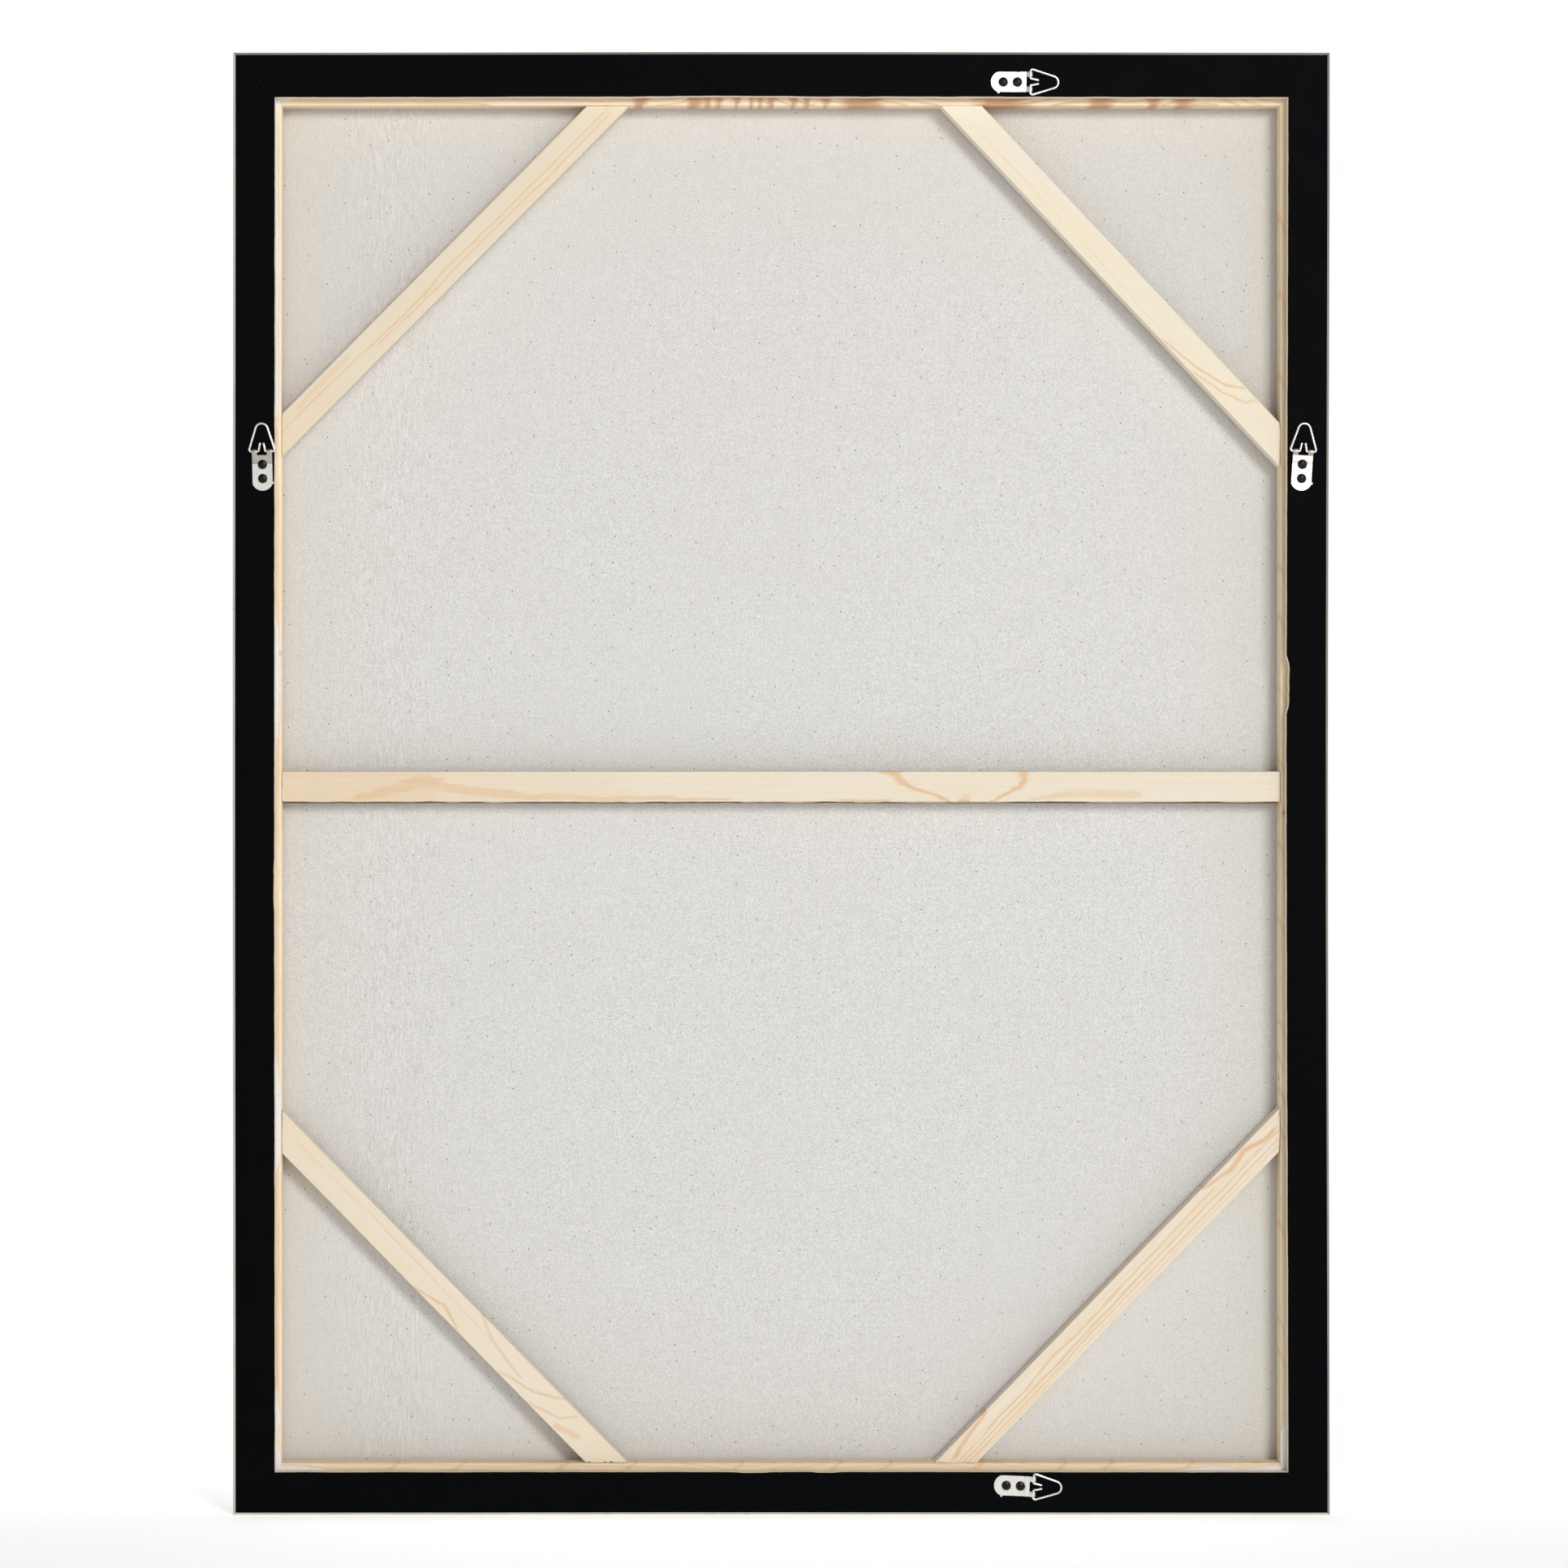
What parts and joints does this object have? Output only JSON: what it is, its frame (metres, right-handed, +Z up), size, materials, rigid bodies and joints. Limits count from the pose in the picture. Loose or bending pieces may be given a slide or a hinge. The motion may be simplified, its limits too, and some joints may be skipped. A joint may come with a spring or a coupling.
{
  "type": "stretched canvas",
  "caption": "Portrait canvas on a braced pine stretcher, held in a black-backed floating frame, with swinging D-ring hangers on the back of its rails.",
  "frame": {"origin": "middle of the bottom of the whole object's box", "axes": "+Z up the portrait picture, +X to the right when the back is seen from behind, +Y towards the painted side, so the back with its hangers faces -Y"},
  "size_m": [0.762, 0.0395, 1.016],
  "materials": {
    "black_frame": "matte black foil on the flange, thin champagne edge",
    "pine": "planed and unfinished",
    "canvas_cloth": "raw weave behind, white primer in front",
    "plated_steel": "bright zinc or nickel plate",
    "black_screw": "black phosphate",
    "hidden_steel": "bright wire"
  },
  "bodies": {
    "picture": {"frame_rail_top": "black_frame", "frame_rail_bottom": "black_frame", "frame_rail_left": "black_frame", "frame_rail_right": "black_frame", "frame_corner_nails": "hidden_steel", "stretcher_bar_top": "pine", "stretcher_bar_bottom": "pine", "stretcher_bar_left": "pine", "stretcher_bar_right": "pine", "stretcher_corner_staples": "hidden_steel", "cross_brace": "pine", "corner_brace_top_left": "pine", "corner_brace_top_right": "pine", "corner_brace_bottom_left": "pine", "corner_brace_bottom_right": "pine", "brace_nails": "hidden_steel", "canvas": "canvas_cloth", "canvas_staples": "hidden_steel", "hanger_strap_left": "plated_steel", "hanger_strap_right": "plated_steel", "hanger_strap_top": "plated_steel", "hanger_strap_bottom": "plated_steel", "hanger_screws_left": "black_screw", "hanger_screws_right": "black_screw", "hanger_screws_top": "black_screw", "hanger_screws_bottom": "black_screw"},
    "ring_left": {"d_ring_left": "plated_steel"},
    "ring_right": {"d_ring_right": "plated_steel"},
    "ring_top": {"d_ring_top": "plated_steel"},
    "ring_bottom": {"d_ring_bottom": "plated_steel"}
  },
  "joints": [
    {"name": "ring_left_swing", "type": "hinge", "parent": "picture", "child": "ring_left", "pos_m": [-0.3608, -0.018, 0.7388], "axis": [0.9998, 0, 0.0209], "range_deg": [0, 150]},
    {"name": "ring_right_swing", "type": "hinge", "parent": "picture", "child": "ring_right", "pos_m": [0.3621, -0.018, 0.7388], "axis": [0.9983, 0, -0.0576], "range_deg": [0, 150]},
    {"name": "ring_top_swing", "type": "hinge", "parent": "picture", "child": "ring_top", "pos_m": [0.1726, -0.018, 0.9953], "axis": [-0.0087, 0, -1], "range_deg": [0, 150]},
    {"name": "ring_bottom_swing", "type": "hinge", "parent": "picture", "child": "ring_bottom", "pos_m": [0.1747, -0.018, 0.0201], "axis": [-0.0384, 0, -0.9993], "range_deg": [0, 150]}
  ]
}
